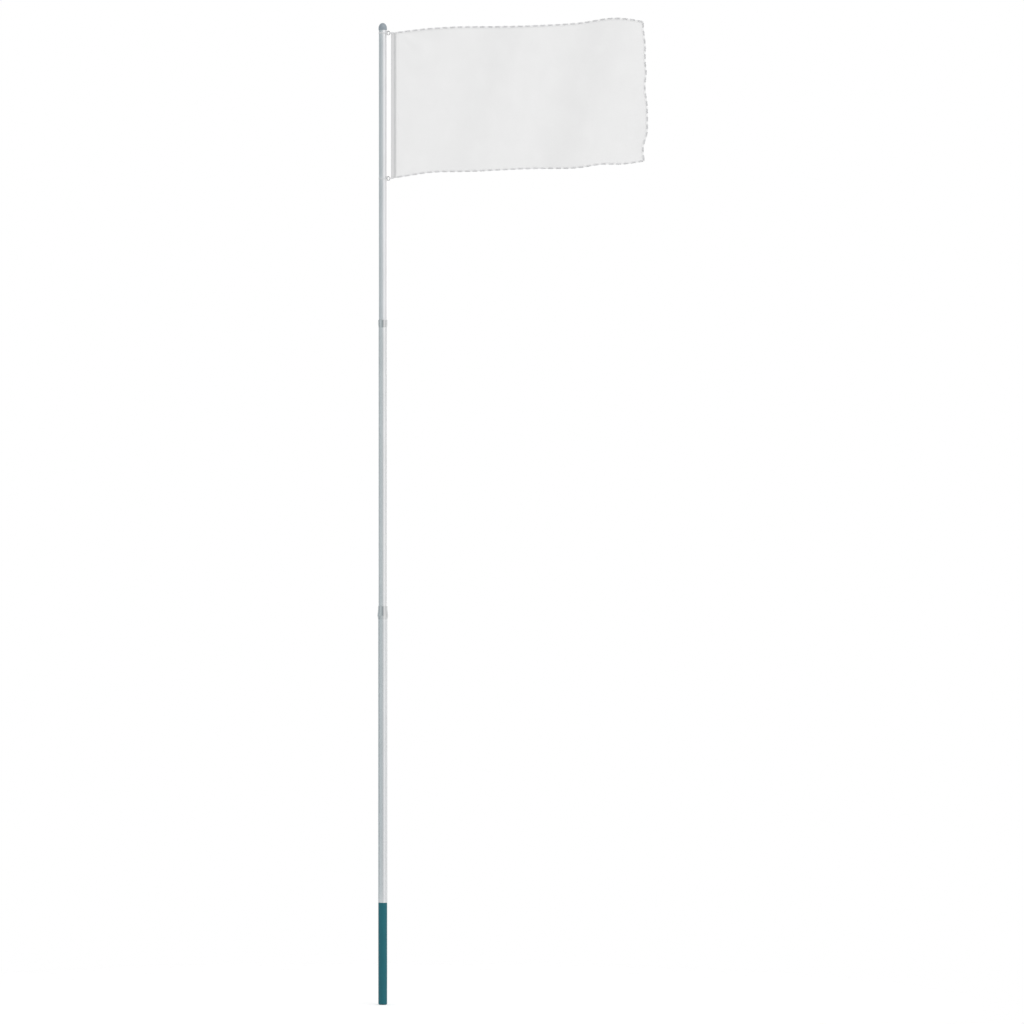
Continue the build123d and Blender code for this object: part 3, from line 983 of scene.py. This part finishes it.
def add_floor():
    """A plain pale floor that shows white, keeps the object's shadow and fades out far away."""
    half = FLOOR_HALF
    corners = [(-half, -half, 0.0), (half, -half, 0.0), (half, half, 0.0), (-half, half, 0.0)]
    floor = add_mesh("floor", corners, [(0, 1, 2, 3)], smooth=False)
    made, tree, shader = blank_material("floor")
    shader.inputs["Base Color"].default_value = FLOOR_COLOUR
    shader.inputs["Roughness"].default_value = FLOOR_ROUGHNESS
    shader.inputs["Specular IOR Level"].default_value = 0.0
    shader.inputs["Emission Color"].default_value = WHITE
    seen = seen_rays(tree, "Is Camera Ray", "Is Glossy Ray", "Is Transmission Ray")
    lift = calculate(tree, "MULTIPLY", seen, FLOOR_LIFT)
    tree.links.new(lift, shader.inputs["Emission Strength"])
    place = tree.nodes.new("ShaderNodeTexCoord")
    distance = tree.nodes.new("ShaderNodeVectorMath")
    distance.operation = "LENGTH"
    tree.links.new(place.outputs["Object"], distance.inputs[0])
    gone = spread(tree, distance.outputs["Value"], FLOOR_FADE)
    clear = tree.nodes.new("ShaderNodeBsdfTransparent")
    faded = mix_shaders(tree, gone, shader.outputs["BSDF"], clear.outputs["BSDF"])
    tree.links.new(faded, tree.nodes["Material Output"].inputs["Surface"])
    floor.data.materials.append(made)


# The studio as shiny surfaces see it, level with the object and above or below it: a share of the
# full turn, left to right with the camera's side in the middle, a level, and a tint. Behind the
# object it is white, and straight above and below it is even.
NEUTRAL = (1.0, 1.0, 1.0)
COOL = (0.90, 1.0, 1.03)
STUDIO = [
    (0.000, 1.00, NEUTRAL),
    (0.050, 0.95, NEUTRAL),
    (0.110, 0.28, COOL),
    (0.165, 0.92, COOL),
    (0.195, 0.90, COOL),
    (0.220, 0.44, COOL),
    (0.250, 0.22, COOL),
    (0.280, 0.70, COOL),
    (0.305, 1.02, COOL),
    (0.335, 0.74, COOL),
    (0.360, 0.55, COOL),
    (0.390, 0.80, COOL),
    (0.440, 0.54, COOL),
    (0.470, 0.62, COOL),
    (0.495, 0.40, COOL),
    (0.525, 0.48, COOL),
    (0.555, 0.88, NEUTRAL),
    (0.585, 0.84, NEUTRAL),
    (0.615, 1.12, NEUTRAL),
    (0.640, 1.22, NEUTRAL),
    (0.667, 0.90, NEUTRAL),
    (0.710, 1.04, NEUTRAL),
    (0.750, 0.68, NEUTRAL),
    (0.780, 0.72, NEUTRAL),
    (0.830, 1.34, NEUTRAL),
    (0.870, 1.12, NEUTRAL),
    (0.910, 0.58, NEUTRAL),
    (0.945, 0.50, NEUTRAL),
    (1.000, 1.00, NEUTRAL),
]
STUDIO_ABOVE = [
    (0.00, 0.68, NEUTRAL),
    (0.08, 0.40, COOL),
    (0.17, 0.18, COOL),
    (0.28, 0.15, COOL),
    (0.33, 0.18, COOL),
    (0.38, 0.54, COOL),
    (0.42, 1.04, COOL),
    (0.47, 1.32, NEUTRAL),
    (0.83, 1.32, NEUTRAL),
    (0.91, 1.00, NEUTRAL),
    (1.00, 0.68, NEUTRAL),
]

# How steep a direction is where the studio turns from its level bands to those above, and from
# them to its even top
ABOVE_RISE = (0.25, 0.60)
OVERHEAD_RISE = (0.70, 0.97)
OVERHEAD_LEVEL = 0.80

# The plain light that falls on the object from all round
WORLD_LEVEL = 0.86


def light_of(cast, level):
    """A light's colour from its tint and its level."""
    return (*(level * c for c in cast), 1.0)


def studio_bands(tree, turn, levels):
    """Soft bands of light round the studio."""
    bands = tree.nodes.new("ShaderNodeValToRGB")
    stops = bands.color_ramp.elements
    while len(stops) < len(levels):
        stops.new(0.5)
    for stop, (position, level, cast) in zip(stops, levels):
        stop.position = position
        stop.color = light_of(cast, level)
    tree.links.new(turn, bands.inputs["Fac"])
    return bands.outputs["Color"]


def studio_colour(tree):
    """The studio in a direction: bands round the horizon, softer ones above, and a plain top."""
    place = tree.nodes.new("ShaderNodeTexCoord")
    parts = tree.nodes.new("ShaderNodeSeparateXYZ")
    tree.links.new(place.outputs["Generated"], parts.inputs["Vector"])
    front = calculate(tree, "MULTIPLY", parts.outputs["Y"], -1.0)
    turn = calculate(tree, "ARCTAN2", parts.outputs["X"], front)
    share = spread(tree, turn, (-math.pi, math.pi))
    steep = calculate(tree, "ABSOLUTE", parts.outputs["Z"])
    level_bands = studio_bands(tree, share, STUDIO)
    bands_above = studio_bands(tree, share, STUDIO_ABOVE)
    above = spread(tree, steep, ABOVE_RISE)
    overhead = spread(tree, steep, OVERHEAD_RISE)
    banded = mix_colours(tree, above, level_bands, bands_above)
    return mix_colours(tree, overhead, banded, light_of(NEUTRAL, OVERHEAD_LEVEL))


def background(tree, colour):
    """The light of a part of the world, of a colour or of a socket's."""
    node = tree.nodes.new("ShaderNodeBackground")
    feed(tree, colour, node.inputs["Color"])
    return node.outputs["Background"]


def add_world():
    """White behind the object, a plain even light on it, and soft bands of light for its gloss."""
    world = bpy.data.worlds.new("studio")
    bpy.context.scene.world = world
    world.use_nodes = True
    tree = world.node_tree
    tree.nodes.clear()
    plain = background(tree, light_of(NEUTRAL, WORLD_LEVEL))
    studio = background(tree, studio_colour(tree))
    on_object = mix_shaders(tree, seen_rays(tree, "Is Glossy Ray"), plain, studio)
    direct = seen_rays(tree, "Is Camera Ray", "Is Transmission Ray")
    all_light = mix_shaders(tree, direct, on_object, background(tree, WHITE))
    output = tree.nodes.new("ShaderNodeOutputWorld")
    tree.links.new(all_light, output.inputs["Surface"])


def add_lamp():
    """A soft far lamp."""
    lamp = bpy.data.lights.new("key", "SUN")
    lamp.energy = KEY_STRENGTH
    lamp.angle = math.radians(KEY_WIDTH)
    direction = Vector(KEY_DIRECTION)
    holder = bpy.data.objects.new("key", lamp)
    holder.rotation_euler = direction.to_track_quat("Z", "Y").to_euler()
    holder.location = direction.normalized() * KEY_DISTANCE + VIEW_CENTRE
    bpy.context.scene.collection.objects.link(holder)


def add_camera():
    """A far camera with a long lens, level with the middle of the pole."""
    lens = bpy.data.cameras.new("camera")
    lens.sensor_width = CAMERA_SENSOR
    lens.lens = CAMERA_SENSOR * CAMERA_DISTANCE / VIEW_SPAN
    lens.clip_end = CAMERA_REACH
    camera = bpy.data.objects.new("camera", lens)
    camera.location = VIEW_CENTRE + Vector((0.0, -CAMERA_DISTANCE, 0.0))
    camera.rotation_euler = (math.pi / 2, 0.0, 0.0)
    bpy.context.scene.collection.objects.link(camera)
    bpy.context.scene.camera = camera


add_floor()
add_world()
add_lamp()
add_camera()
bpy.context.scene.view_settings.view_transform = "Standard"
